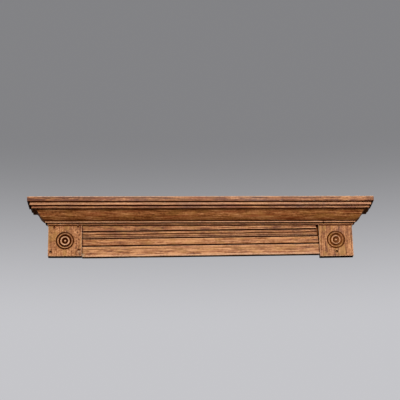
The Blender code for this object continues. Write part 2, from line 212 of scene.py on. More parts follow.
class Wiring:
    """Adds nodes to a node tree and links them.

    An input is a number, a tuple or another node's output.
    """

    def __init__(self, tree):
        self.tree = tree

    def node(self, kind, inputs=None, **settings):
        node = self.tree.nodes.new(kind)
        for name, value in settings.items():
            setattr(node, name, value)
        for name, value in (inputs or {}).items():
            if isinstance(value, bpy.types.NodeSocket):
                self.tree.links.new(value, node.inputs[name])
            else:
                node.inputs[name].default_value = value
        return node

    def math(self, operation, a, b=0.0):
        return self.node("ShaderNodeMath", {0: a, 1: b}, operation=operation).outputs[0]

    def plus(self, a, b):
        return self.math("ADD", a, b)

    def minus(self, a, b):
        return self.math("SUBTRACT", a, b)

    def times(self, a, b):
        return self.math("MULTIPLY", a, b)

    def larger(self, a, b):
        return self.math("MAXIMUM", a, b)

    def vector(self, operation, a, b):
        return self.node("ShaderNodeVectorMath", {0: a, 1: b}, operation=operation).outputs[0]

    def attribute(self, name):
        return self.node("ShaderNodeAttribute", attribute_name=name).outputs["Fac"]

    def stretched(self, vector, scale):
        """Coordinates stretched along the grain: a scale for each axis."""
        return self.node("ShaderNodeMapping", {"Vector": vector, "Scale": scale}).outputs[0]

    def noise(self, vector, scale, detail=2.0, roughness=0.5, output=0):
        vector = self.stretched(vector, scale)
        inputs = {"Vector": vector, "Scale": 1.0, "Detail": detail, "Roughness": roughness}
        return self.node("ShaderNodeTexNoise", inputs).outputs[output]

    def span(self, value, low, high, to_low=0.0, to_high=1.0):
        """The value's place between two limits, eased and clamped."""
        inputs = {"Value": value, 1: low, 2: high, 3: to_low, 4: to_high}
        return self.node("ShaderNodeMapRange", inputs, interpolation_type="SMOOTHSTEP").outputs[0]

    def ramp(self, value, stops):
        node = self.node("ShaderNodeValToRGB", {0: value})
        elements = node.color_ramp.elements
        while len(elements) < len(stops):
            elements.new(1.0)
        for element, (place, colour) in zip(elements, stops):
            element.position = place
            element.color = (*colour, 1.0)
        return node.outputs[0]

    def mix(self, share, a, b):
        node = self.node("ShaderNodeMix", {0: share}, data_type="RGBA")
        for socket, value in ((node.inputs[6], a), (node.inputs[7], b)):
            if isinstance(value, bpy.types.NodeSocket):
                self.tree.links.new(value, socket)
            else:
                socket.default_value = (*value, 1.0)
        return node.outputs[2]


# Oak under an old orange-brown varnish, linear colours
DARK_OAK = (0.110, 0.026, 0.004)
MIDDLE_OAK = (0.350, 0.125, 0.036)
PALE_OAK = (0.650, 0.300, 0.125)
RED_OAK = (0.260, 0.062, 0.018)
GOLDEN_OAK = (0.430, 0.205, 0.045)
PORE = (0.060, 0.015, 0.003)
# the next two darken recesses, gaps and undersides: painted shade mixed with grime and stains
SOFT_SHADE_AND_STAIN = (0.170, 0.045, 0.006)
DEEP_SHADE_AND_GRIME = (0.034, 0.005, 0.0005)
# rubbed arrises and ring tops: partly worn wood, partly a painted highlight
RUBBED_AND_HIGHLIGHT = (0.880, 0.500, 0.290)
BARE_OAK = (0.560, 0.380, 0.230)
DUST = (0.300, 0.240, 0.190)
SPECULAR = 0.10
GRAIN_RELIEF = 0.00025

# Turns of the grain, which runs along X without one
UPRIGHT = (0, math.pi / 2, 0)
FRONT_TO_BACK = (0, 0, math.pi / 2)

# Growth rings, how far the pith wanders, and how far along the trunk the next piece lies
RING_PITCH = 0.0042
TRUNK_WANDER = 0.05
PIECE_SHIFT = 3.7

# Patterns in the wood, in repeats per metre: along the grain, then across it both ways
WANDER_PATTERN = (1.6, 9.0, 9.0)
FIBRE_PATTERN = (26.0, 1300.0, 1300.0)
PORE_PATTERN = (75.0, 1700.0, 1700.0)
STREAK_PATTERN = (16.0, 240.0, 240.0)
FLECK_PATTERN = (120.0, 210.0, 210.0)
BLOTCH_PATTERN = (150.0, 150.0, 150.0)
PATCH_PATTERN = (9.0, 26.0, 26.0)
RED_PATTERN = (8.0, 150.0, 150.0)
GOLD_PATTERN = (22.0, 48.0, 48.0)
SCUFF_PATTERN = (160.0, 160.0, 160.0)
DUST_PATTERN = (60.0, 60.0, 60.0)

# Painted shade and grime: how close by a recess is felt, and how far below the crown's foot its painted
# shadow starts and is full
RECESS_REACH = 0.009
FOOT_SHADOW_START = 0.0048
FOOT_SHADOW_FULL = 0.0018


def oak(
        name, seed, grain=(0, 0, 0), pith=(0.0, 0.06, 0.0), tone=0.5, red=0.5, gold=0.35, sheen=1.0,
        streaky=2.4, mottled=0.5, recess_shade_and_grime=1.0, crown_foot=None):
    """Oak whose grain runs along X, unless turned. The pith is a point on the trunk's middle line.

    How dark its recesses are painted, as shade and grime, is given after mottled. A piece below the
    crown has painted shade on its underside and a painted shadow of the crown's foot near crown_foot,
    the height where the crown's foot hides it.
    """
    material = bpy.data.materials.new(name)
    material.use_nodes = True
    wiring = Wiring(material.node_tree)
    shader = material.node_tree.nodes["Principled BSDF"]
    place = wiring.node("ShaderNodeTexCoord").outputs["Object"]
    turned = wiring.node("ShaderNodeMapping", {"Vector": place, "Rotation": grain}).outputs[0]
    wood = wiring.node("ShaderNodeMapping", {"Vector": turned, "Location": (seed * PIECE_SHIFT, 0, 0)})
    wood = wood.outputs[0]
    # growth rings round the pith, which wanders along the trunk
    wander = wiring.noise(wood, WANDER_PATTERN, 3.0, 0.55, 1)
    wander = wiring.vector("SUBTRACT", wander, (0.5, 0.5, 0.5))
    wander = wiring.node("ShaderNodeVectorMath", {0: wander, "Scale": TRUNK_WANDER}, operation="SCALE")
    trunk = wiring.vector("ADD", wood, wander.outputs[0])
    trunk = wiring.vector("SUBTRACT", trunk, pith)
    across = wiring.stretched(trunk, (0.0, 1.0, 1.0))
    radius = wiring.node("ShaderNodeVectorMath", {0: across}, operation="LENGTH").outputs["Value"]
    ring = wiring.math("FRACT", wiring.times(radius, 1 / RING_PITCH))
    early = wiring.ramp(ring, (
        (0.0, (1, 1, 1)), (0.28, (0.75, 0.75, 0.75)), (0.5, (0, 0, 0)), (0.96, (0.1, 0.1, 0.1))))
    # fibres, pores and streaks along the grain
    fibres = wiring.noise(wood, FIBRE_PATTERN, 2.0, 0.6)
    pores = wiring.span(wiring.noise(wood, PORE_PATTERN, 1.0), 0.60, 0.70)
    pores = wiring.times(pores, wiring.plus(wiring.times(early, 0.8), 0.2))
    streaks = wiring.noise(wood, STREAK_PATTERN, 2.0, 0.55)
    flecks = wiring.noise(wood, FLECK_PATTERN, 2.0, 0.5)
    blotches = wiring.noise(place, BLOTCH_PATTERN, 2.0, 0.5)
    patches = wiring.noise(wood, PATCH_PATTERN, 2.0, 0.5)
    figure = 0.0
    patterns = ((streaks, streaky), (flecks, 1.0), (blotches, mottled), (patches, 0.8), (fibres, 0.7))
    for pattern, amount in patterns:
        figure = wiring.plus(figure, wiring.times(wiring.minus(pattern, 0.5), amount))
    figure = wiring.minus(figure, wiring.times(early, 0.20))
    lightness = wiring.attribute("lightness")
    figure = wiring.plus(wiring.plus(figure, lightness), tone + 0.08)
    colour = wiring.ramp(figure, ((0.0, DARK_OAK), (0.5, MIDDLE_OAK), (1.0, PALE_OAK)))
    reddish = wiring.span(wiring.noise(wood, RED_PATTERN, 2.0, 0.6), 0.50, 0.72)
    colour = wiring.mix(wiring.times(reddish, red), colour, RED_OAK)
    golden = wiring.span(wiring.noise(wood, GOLD_PATTERN, 2.0, 0.5), 0.48, 0.66)
    colour = wiring.mix(wiring.times(golden, gold), colour, GOLDEN_OAK)
    colour = wiring.mix(wiring.times(pores, 0.65), colour, PORE)
    # painted shade with grime in the quirks, saw cuts and undersides; rubbed arrises, partly a painted
    # highlight; bare wood in chips and on the back
    # occlusion within a few millimetres darkens the recesses: painted shade, together with grime
    shade_and_grime = wiring.node("ShaderNodeAmbientOcclusion", {"Distance": RECESS_REACH}, samples=4).outputs["AO"]
    shade_and_grime = wiring.span(shade_and_grime, 0.25, 0.65, recess_shade_and_grime, 0.0)
    quirk = wiring.attribute("shade_and_grime")
    quirk = wiring.plus(quirk, wiring.times(wiring.minus(patches, 0.5), 0.35))
    shade_and_grime = wiring.larger(shade_and_grime, wiring.span(quirk, 0.22, 0.55))
    facing = wiring.node("ShaderNodeNewGeometry").outputs["True Normal"]
    facing = wiring.node("ShaderNodeSeparateXYZ", {0: facing})
    # painted shadow of the crown's foot just below it, and painted shade on faces that look down
    if crown_foot is not None:
        level = wiring.node("ShaderNodeSeparateXYZ", {0: place}).outputs["Z"]
        foot_shadow = wiring.span(level, crown_foot - FOOT_SHADOW_START, crown_foot - FOOT_SHADOW_FULL)
        shade_and_grime = wiring.larger(shade_and_grime, foot_shadow)
        underside = wiring.span(facing.outputs["Z"], -0.90, -0.50, 0.85, 0.0)
        shade_and_grime = wiring.larger(shade_and_grime, underside)
    colour = wiring.mix(wiring.span(shade_and_grime, 0.0, 0.55, 0.0, 0.9), colour, SOFT_SHADE_AND_STAIN)
    colour = wiring.mix(wiring.span(shade_and_grime, 0.35, 0.95, 0.0, 0.94), colour, DEEP_SHADE_AND_GRIME)
    # the edge attribute lightens arrises and ring tops: partly rubbed wear, partly a painted highlight
    edge = wiring.span(wiring.attribute("edge"), 0.05, 0.75)
    scuffs = wiring.span(wiring.noise(place, SCUFF_PATTERN, 2.0), 0.40, 0.60)
    rubbed_and_highlight = wiring.times(edge, wiring.plus(wiring.times(scuffs, 0.40), 0.50))
    colour = wiring.mix(rubbed_and_highlight, colour, RUBBED_AND_HIGHLIGHT)
    back = wiring.span(facing.outputs["Y"], 0.80, 0.95)
    bare = wiring.larger(back, wiring.attribute("bare"))
    colour = wiring.mix(bare, colour, wiring.mix(0.75, colour, BARE_OAK))
    dusty = wiring.span(wiring.noise(place, DUST_PATTERN, 3.0, 0.6), 0.30, 0.75)
    upward = wiring.span(facing.outputs["Z"], 0.55, 0.95)
    dusty = wiring.times(dusty, wiring.times(upward, 0.75))
    colour = wiring.mix(dusty, colour, DUST)
    material.node_tree.links.new(colour, shader.inputs["Base Color"])
    # sheen of the varnish, duller where the painted shade and grime lie, and where it is dusty or bare
    dull = wiring.larger(bare, wiring.larger(upward, shade_and_grime))
    shine = wiring.span(dull, 0.0, 0.8, SPECULAR * sheen, 0.0)
    material.node_tree.links.new(shine, shader.inputs["Specular IOR Level"])
    roughness = wiring.plus(wiring.times(patches, 0.22), 0.31)
    roughness = wiring.plus(roughness, wiring.times(dull, 0.30))
    material.node_tree.links.new(roughness, shader.inputs["Roughness"])
    height = wiring.minus(wiring.times(fibres, 0.5), pores)
    height = wiring.minus(height, wiring.times(early, 0.3))
    bump = wiring.node("ShaderNodeBump", {"Height": height, "Strength": 0.45, "Distance": GRAIN_RELIEF})
    material.node_tree.links.new(bump.outputs[0], shader.inputs["Normal"])
    return material


def arc(centre, radius, start, end, steps):
    """Points on a circle, from one angle to another, both included."""
    angles = np.linspace(start, end, steps + 1)
    return [(centre[0] + radius * math.cos(a), centre[1] + radius * math.sin(a)) for a in angles]


def bowed(start, end, bow, steps):
    """An arc over a chord. A positive bow swells to the right of the way from start to end."""
    chord = Vector(end) - Vector(start)
    side = Vector((chord.y, -chord.x)).normalized()
    radius = (chord.length ** 2 / 4 + bow ** 2) / (2 * abs(bow))
    half_angle = math.asin(chord.length / 2 / radius)
    points = []
    for i in range(steps + 1):
        angle = half_angle * (2 * i / steps - 1)
        along = 0.5 + radius * math.sin(angle) / chord.length
        rise = radius * (math.cos(angle) - math.cos(half_angle))
        points.append(tuple(Vector(start) + chord * along + side * math.copysign(rise, bow)))
    return points


def softened(outline, radius=ARRIS_RADIUS):
    """The outline, which runs counterclockwise, with its sharp outward corners rounded."""
    points = []
    count = len(outline)
    for i, corner in enumerate(outline):
        corner = Vector(corner)
        before = Vector(outline[i - 1]) - corner
        after = Vector(outline[(i + 1) % count]) - corner
        turn = math.atan2((-before).cross(after), (-before).dot(after))
        if turn < CORNER_ANGLE:
            points.append(tuple(corner))
            continue
        first = corner + before.normalized() * min(radius, before.length * CORNER_SHARE)
        last = corner + after.normalized() * min(radius, after.length * CORNER_SHARE)
        for k in range(ARRIS_STEPS + 1):
            s = k / ARRIS_STEPS
            points.append(tuple(first * (1 - s) ** 2 + corner * 2 * s * (1 - s) + last * s ** 2))
    return points


def spaced(outline, pitch=OUTLINE_PITCH):
    """The outline with its long stretches divided."""
    points = []
    for i, start in enumerate(outline):
        start = np.array(start)
        end = np.array(outline[(i + 1) % len(outline)])
        parts = max(1, math.ceil(np.linalg.norm(end - start) / pitch))
        points += [start + (end - start) * k / parts for k in range(parts)]
    return np.array(points)


def shut_in(points, normals, starts, ends):
    """How much of what each point faces is blocked close by, by the segments from starts to ends."""
    origin = (points + normals * RAY_LIFT)[:, None]
    along = (ends - starts)[None]
    gap = starts[None] - origin
    blocked = np.zeros(len(points))
    share = 0.0
    for angle in np.linspace(-HOLLOW_SWEEP, HOLLOW_SWEEP, HOLLOW_RAYS):
        cos, sin = math.cos(angle), math.sin(angle)
        turned = (normals[:, 0] * cos - normals[:, 1] * sin, normals[:, 0] * sin + normals[:, 1] * cos)
        ray = np.stack(turned, 1)[:, None]
        cross = ray[:, :, 0] * along[:, :, 1] - ray[:, :, 1] * along[:, :, 0]
        cross = np.where(np.abs(cross) < 1e-12, 1e-12, cross)
        reach = (gap[:, :, 0] * along[:, :, 1] - gap[:, :, 1] * along[:, :, 0]) / cross
        place = (gap[:, :, 0] * ray[:, :, 1] - gap[:, :, 1] * ray[:, :, 0]) / cross
        hit = (reach > 0) & (reach < HOLLOW_REACH) & (place >= 0) & (place <= 1)
        blocked += cos * hit.any(1)
        share += cos
    return blocked / share


class Outline:
    """A closed counterclockwise outline, its outward normals, and how sharp and shut in it is."""

    def __init__(self, points):
        self.points = points
        step = np.roll(points, -1, 0) - points
        length = np.linalg.norm(step, axis=1)
        self.along = np.concatenate(([0], np.cumsum(length)[:-1]))
        self.length = length.sum()
        ahead = self.at(self.along + EDGE_REACH) - points
        behind = points - self.at(self.along - EDGE_REACH)
        cross = behind[:, 0] * ahead[:, 1] - behind[:, 1] * ahead[:, 0]
        turn = np.arctan2(cross, (behind * ahead).sum(1))
        self.edge = np.clip(turn / (math.pi / 2), 0, 1)
        tangent = self.at(self.along + TANGENT_REACH) - self.at(self.along - TANGENT_REACH)
        normal = np.stack((tangent[:, 1], -tangent[:, 0]), 1)
        self.normal = normal / np.linalg.norm(normal, axis=1)[:, None]
        # how shut in each point is; it paints shade and grime into the recesses
        self.shade_and_grime = shut_in(points, self.normal, points, np.roll(points, -1, 0))

    def at(self, place):
        """The points at these distances along the outline."""
        closed = np.concatenate((self.points, self.points[:1]))
        marks = np.concatenate((self.along, [self.length]))
        place = np.mod(place, self.length)
        return np.stack([np.interp(place, marks, closed[:, k]) for k in (0, 1)], 1)

    def between(self, lowest, highest):
        """Which points lie between these heights."""
        return (self.points[:, 1] > lowest) & (self.points[:, 1] < highest)


def undulation(x, s, seed, size):
    """Gentle unevenness of a planed and aged surface."""
    values = [noise.noise(Vector((a * 9, b * 40, seed * 5.3))) for a, b in zip(x.ravel(), s.ravel())]
    return np.array(values).reshape(x.shape) * size


def nicks(x, outline, low, high, seed, per_metre):
    """Small dents along the sharp arrises, as depths."""
    chance = random.Random(seed)
    depth = np.zeros(x.shape)
    sharp = np.flatnonzero(outline.edge > DENTED_EDGE)
    for _ in range(int(per_metre * (high - low))):
        centre = chance.uniform(low, high)
        place = outline.along[chance.choice(list(sharp))]
        half_length = chance.uniform(*DENT_HALF_LENGTHS)
        half_width = chance.uniform(*DENT_HALF_WIDTHS)
        deepest = DENT_DEPTH + DEEP_DENT_DEPTH * chance.random() ** 3
        gap = np.abs(outline.along - place)
        gap = np.minimum(gap, outline.length - gap)
        across = np.exp(-(gap / half_width) ** 2)
        depth += deepest * across[None, :] * np.exp(-((x - centre) / half_length) ** 2)
    return depth


def solid(name, rings, material, attributes, place=Matrix()):
    """A closed solid through rings of points that run round it, with point attributes."""
    count, around = rings.shape[:2]
    ring_start = np.arange(count - 1)[:, None] * around
    first = (ring_start + np.arange(around)[None, :]).ravel()
    second = (ring_start + np.roll(np.arange(around), -1)[None, :]).ravel()
    faces = np.stack((first, second, second + around, first + around), 1).tolist()
    faces.append(list(range(around))[::-1])
    faces.append(list(range((count - 1) * around, count * around)))
    mesh = bpy.data.meshes.new(name)
    mesh.from_pydata(rings.reshape(-1, 3).tolist(), [], faces)
    for key, values in attributes.items():
        layer = mesh.attributes.new(key, "FLOAT", "POINT")
        values = np.broadcast_to(values, rings.shape[:2]).ravel()
        layer.data.foreach_set("value", values.astype(np.float32))
    mesh.transform(place)
    bm = bmesh.new()
    bm.from_mesh(mesh)
    bmesh.ops.recalc_face_normals(bm, faces=bm.faces)
    bm.to_mesh(mesh)
    bm.free()
    mesh.materials.append(material)
    piece = bpy.data.objects.new(name, mesh)
    bpy.context.scene.collection.objects.link(piece)
    return piece


def smooth(piece):
    piece.data.shade_smooth()
    piece.data.set_sharp_from_angle(angle=SHARP_ANGLE)


def board(
        name, points, ends, material, seed, place=Matrix(), end_round=0.0, per_metre=60,
        bites=(), tones=(), stretches=(), painted_shading_and_grime=()):
    """A board or moulding along X. ends gives the low and high x of each outline point.

    A bite is (its middle, half its length, its lowest and highest height, its depth, how bare it is).
    A tone is (the height it starts from, how much lighter the wood is there), a stretch is (where it
    starts and stops, its lowest and highest height, how much lighter the wood is there), and a band of
    painted shading is (from and to this height, how much painted shade and grime, how far rubbed,
    which is partly a painted highlight).
    """
    outline = Outline(spaced(softened(points)))
    low, high = ends(outline.points)
    length = float((high - low).mean())
    middle = np.linspace(0, 1, max(3, round(length / STATION_PITCH)))[1:-1]
    near = np.linspace(0, 1, END_STEPS) if end_round else np.zeros(1)
    x = [low + end_round * d for d in near]
    x += [low + (high - low) * t for t in middle]
    x += [high - end_round * d for d in near[::-1]]
    x = np.array(x)
    inset = [end_round * (1 - math.sqrt(1 - (1 - d) ** 2)) for d in near] if end_round else [0.0]
    inset = np.array(inset + [0.0] * len(middle) + inset[::-1])[:, None]
    s = np.broadcast_to(outline.along, x.shape)
    dents = nicks(x, outline, float(low.min()), float(high.max()), seed, per_metre)
    depth = dents + undulation(x, s, seed, BOARD_UNEVENNESS) * (1 + 2 * outline.edge) + BOARD_WEAR
    depth = np.maximum(depth, 0) + inset
    bare = np.clip((dents - 0.0002) / 0.0003, 0, 1)
    open_side = outline.normal[:, 0] > OFF_THE_WALL
    for centre, half_length, lowest, highest, bite, bareness in bites:
        across = outline.between(lowest, highest) & open_side
        share = across[None, :] * np.exp(-((x - centre) / half_length) ** 4)
        depth = depth + bite * share
        bare = np.maximum(bare, bareness * share)
    out = outline.points[None, :, 0] - outline.normal[None, :, 0] * depth
    up = outline.points[None, :, 1] - outline.normal[None, :, 1] * depth
    rings = np.stack((x, -out, up), 2)
    lightness = np.zeros(x.shape)
    for height, tone in tones:
        lightness[:, outline.points[:, 1] >= height] = tone
    for start, stop, lowest, highest, tone in stretches:
        across = outline.between(lowest, highest)
        soft = max(0.004, (stop - start) / 4)
        lightness += tone * across * np.clip(np.minimum(x - start, stop - x) / soft + 0.5, 0, 1)
    shade_and_grime = outline.shade_and_grime.copy()
    edge = outline.edge.copy()
    # bands of painted shade and grime, and of rubbed arrises that are partly a painted highlight
    for lowest, highest, amount, rubbed_and_highlight in painted_shading_and_grime:
        in_band = outline.between(lowest, highest) & open_side
        shade_and_grime[in_band] = np.maximum(shade_and_grime[in_band], amount)
        edge[in_band] = rubbed_and_highlight
    attributes = {"edge": edge[None, :], "shade_and_grime": shade_and_grime[None, :], "bare": bare, "lightness": lightness}
    return solid(name, rings, material, attributes, place)


def crown_outline():
    """The crown's section as (projection, height), counterclockwise from its foot up its face."""
    foot = JOINT_GAP + FOOT_BACKING
    lower_bead = (foot, CROWN_BOTTOM + FOOT_LIP_HEIGHT + BEAD_RADIUS)
    upper_bead = (UPPER_BEAD_CENTRE, lower_bead[1] + 2 * BEAD_RADIUS + BEAD_SPACING)
    ledge = upper_bead[1] + BEAD_RADIUS
    quirk = UPPER_BEAD_CENTRE - OGEE_QUIRK_DEPTH
    ogee_foot = (UPPER_BEAD_CENTRE + OGEE_QUIRK_STEP, ledge + OGEE_QUIRK_HEIGHT)
    ogee_bend = (ogee_foot[0] + OGEE_BELLY_REACH, ogee_foot[1] + OGEE_BELLY_HEIGHT)
    ogee_top = (ogee_bend[0] + OGEE_HOLLOW_REACH, ogee_bend[1] + OGEE_HOLLOW_HEIGHT)
    step = ogee_top[1] + LOWER_FILLET_HEIGHT
    points = [(JOINT_GAP, CROWN_BOTTOM), (foot, CROWN_BOTTOM)]
    points += arc(lower_bead, BEAD_RADIUS, -math.pi / 2, math.pi / 2, 14)
    points.append((foot, upper_bead[1] - BEAD_RADIUS))
    points += arc(upper_bead, BEAD_RADIUS, -math.pi / 2, math.pi / 2, 14)
    points.append((quirk, ledge))
    points.append((quirk, ogee_foot[1] - OGEE_QUIRK_DEPTH))
    points += bowed(ogee_foot, ogee_bend, OGEE_BELLY_BOW, 16)
    points += bowed(ogee_bend, ogee_top, -OGEE_HOLLOW_BOW, 8)[1:]
    points.append((ogee_top[0] + SOFFIT_WIDTH, ogee_top[1]))
    points.append((ogee_top[0] + SOFFIT_WIDTH, step))
    points.append((CROWN_PROJECTION, step))
    points.append((CROWN_PROJECTION, CROWN_TOP))
    points.append((CROWN_PROJECTION - TOP_SEAT_WIDTH, CROWN_TOP))
    points.append((JOINT_GAP, CROWN_BOTTOM + BACK_FOOT_HEIGHT))
    return points


def mitred(low, high, low_mitre, high_mitre):
    """Ends cut at 45 degrees where there is a mitre, and square where there is none."""
    def ends(points):
        starts = low + (MITRE_SHIFT - points[:, 0]) * low_mitre
        stops = high - (MITRE_SHIFT - points[:, 0]) * high_mitre
        return starts, stops
    return ends


def make_crown():
    face = Matrix.Translation((0, -BLOCK_THICKNESS, 0))
    beads = CROWN_BOTTOM + BEADS_HEIGHT
    bites = (
        (0.4580, 0.0016, CROWN_BOTTOM, beads, 0.0022, 0.0),
        (-0.4565, 0.0022, CROWN_BOTTOM, beads - 2 * BEAD_RADIUS, 0.0020, 0.0),
    )
    fillets = beads + OGEE_HEIGHT
    upper_fillet = fillets + LOWER_FILLET_HEIGHT
    between_beads = CROWN_BOTTOM + FOOT_LIP_HEIGHT + 2 * BEAD_RADIUS + BEAD_SPACING / 2
    # lightness of each member: partly the wood's own tone, partly painted shade and light, darker on the
    # lower bead and lower fillet, lighter on the upper bead and upper fillet
    tones = (
        (CROWN_BOTTOM, -0.12), (between_beads, 0.08), (beads, -0.08), (beads + OGEE_HEIGHT / 2, -0.09),
        (fillets - 0.0001, -0.16), (upper_fillet - 0.0001, 0.08))
    # painted shade between the beads, on the ledge at the ogee's foot, under the upper fillet and under the
    # cap; the rubbed upper bead and upper fillet are partly a painted highlight
    painted_shading_and_grime = (
        (CROWN_BOTTOM, beads, 0.0, 0.15), (between_beads + 0.0008, beads - 0.0024, 0.0, 0.45),
        (between_beads - 0.0006, between_beads + 0.0004, 0.9, 0.0),
        (beads - 0.0003, beads + 0.0012, 0.7, 0.0),
        (fillets + 0.0004, upper_fillet - 0.0012, 0.0, 0.1),
        (upper_fillet + 0.0030, CROWN_TOP - 0.0030, 0.0, 0.28),
        (upper_fillet - 0.0009, upper_fillet + 0.0016, 1.0, 0.0),
        (CROWN_TOP - 0.0024, CROWN_TOP + 0.0002, 1.0, 0.0),
    )
    front = board(
        "crown_front_oak", crown_outline(), mitred(-HALF_LENGTH, HALF_LENGTH, 1, 1),
        oak(
            "crown_front", 1, pith=(0, 0.05, -0.03), tone=0.42, red=0.8, gold=0.2, sheen=1.4,
            streaky=2.1),
        11, face, bites=bites, tones=tones, painted_shading_and_grime=painted_shading_and_grime)
    finish_piece(front, "crown_front")
    returns = (
        ("crown_return_right", 2, 1, mitred(0, BLOCK_THICKNESS, 1, 0)),
        ("crown_return_left", 3, -1, mitred(-BLOCK_THICKNESS, 0, 0, 1)),
    )
    for name, number, side, ends in returns:
        corner = Matrix.Translation((side * HALF_LENGTH, -BLOCK_THICKNESS, 0))
        place = corner @ Matrix.Rotation(side * math.pi / 2, 4, "Z")
        material = oak(name, number, grain=FRONT_TO_BACK, tone=0.40, red=0.4)
        piece = board(
            name + "_oak", crown_outline(), ends, material, number + 10, place, tones=tones, painted_shading_and_grime=painted_shading_and_grime)
        finish_piece(piece, name)


def make_cap():
    half = HALF_LENGTH + CAP_PROJECTION
    depth = BLOCK_THICKNESS + CAP_PROJECTION
    points = [(0, CAP_BOTTOM), (depth, CAP_BOTTOM), (depth, CAP_TOP), (0, CAP_TOP)]

    def ends(points):
        return np.full(len(points), -half), np.full(len(points), half)
    cap = board(
        "cap_board_oak", points, ends,
        oak("cap_board", 4, pith=(0, -0.05, 0.12), tone=0.32, red=0.6, gold=0.15, sheen=1.8), 14,
        end_round=0.0011, per_metre=90,
        stretches=(
            (-half - 0.01, 0.008 - half, 0, 1, -0.3), (half - 0.026, half + 0.01, 0, 1, -0.3),
            (-half - 0.10, 0.30 - half, 0, 1, -0.26), (-half, half, 0, 1, -0.04)),
        # painted shade with grime along the cap's lower arris, over the crown
        painted_shading_and_grime=((CAP_BOTTOM - 0.001, CAP_BOTTOM + 0.0010, 0.4, 0.0),))
    finish_piece(cap, "cap_board")


def frieze_outline(height):
    """The reeded board's section as (distance from the wall, height above its lower edge)."""
    face = FRIEZE_THICKNESS
    shallow = face - SHALLOW_QUIRK_DEPTH
    deep = face - DEEP_QUIRK_DEPTH
    edge = FRIEZE_EDGE_RADIUS
    points = [(0.0, 0.0)]
    points += arc((face - edge, edge), edge, -math.pi / 2, 0, 8)
    level = LOWER_BAND_HEIGHT
    points.append((face, level - SHALLOW_QUIRK_DEPTH))
    points.append((shallow, level))
    points.append((face, level + SHALLOW_QUIRK_DEPTH))
    level += LOWER_BEAD_HEIGHT
    points.append((face, level - SHALLOW_QUIRK_DEPTH))
    points.append((shallow, level))
    points.append((deep, level + LOWER_QUIRK_HEIGHT / 2))
    level += LOWER_QUIRK_HEIGHT
    band = face - BAND_EDGE_DEPTH
    points += bowed((band, level), (band, level + MIDDLE_BAND_HEIGHT), BAND_EDGE_DEPTH, 14)
    level += MIDDLE_BAND_HEIGHT
    points.append((deep, level + MIDDLE_QUIRK_HEIGHT / 2))
    level += MIDDLE_QUIRK_HEIGHT
    valley = face - REED_VALLEY_DEPTH
    swell = REED_VALLEY_DEPTH - REED_TOP_DEPTH
    points.append((valley, level))
    for reed_height in REED_HEIGHTS:
        points += bowed((valley, level), (valley, level + reed_height), swell, 10)[1:]
        level += reed_height
    points.append((deep, level + UPPER_QUIRK_HEIGHT / 2))
    level += UPPER_QUIRK_HEIGHT
    points.append((shallow, level))
    points.append((face, level + SHALLOW_QUIRK_DEPTH))
    points.append((face, height))
    points.append((0.0, height))
    return points


def spots(mesh):
    """Where each vertex lies, to a micrometre."""
    return [tuple(round(c, 6) for c in vertex.co) for vertex in mesh.vertices]


def cut(piece, cutter, shade_and_grime_value):
    """Takes the cutter out of the piece and removes it, and darkens the faces it cut by the amount given.
    """
    before = set(spots(piece.data))
    boolean = piece.modifiers.new("cut", "BOOLEAN")
    boolean.operation = "DIFFERENCE"
    boolean.solver = "EXACT"
    boolean.object = cutter
    graph = bpy.context.evaluated_depsgraph_get()
    mesh = bpy.data.meshes.new_from_object(piece.evaluated_get(graph))
    for point, spot in zip(mesh.attributes["shade_and_grime"].data, spots(mesh)):
        if spot not in before:
            point.value = shade_and_grime_value
    piece.modifiers.clear()
    piece.data = mesh
    bpy.data.objects.remove(cutter, do_unlink=True)


def cutter_of(bm, place):
    mesh = bpy.data.meshes.new("cutter")
    bm.transform(place)
    bm.to_mesh(mesh)
    bm.free()
    cutter = bpy.data.objects.new("cutter", mesh)
    bpy.context.scene.collection.objects.link(cutter)
    return cutter


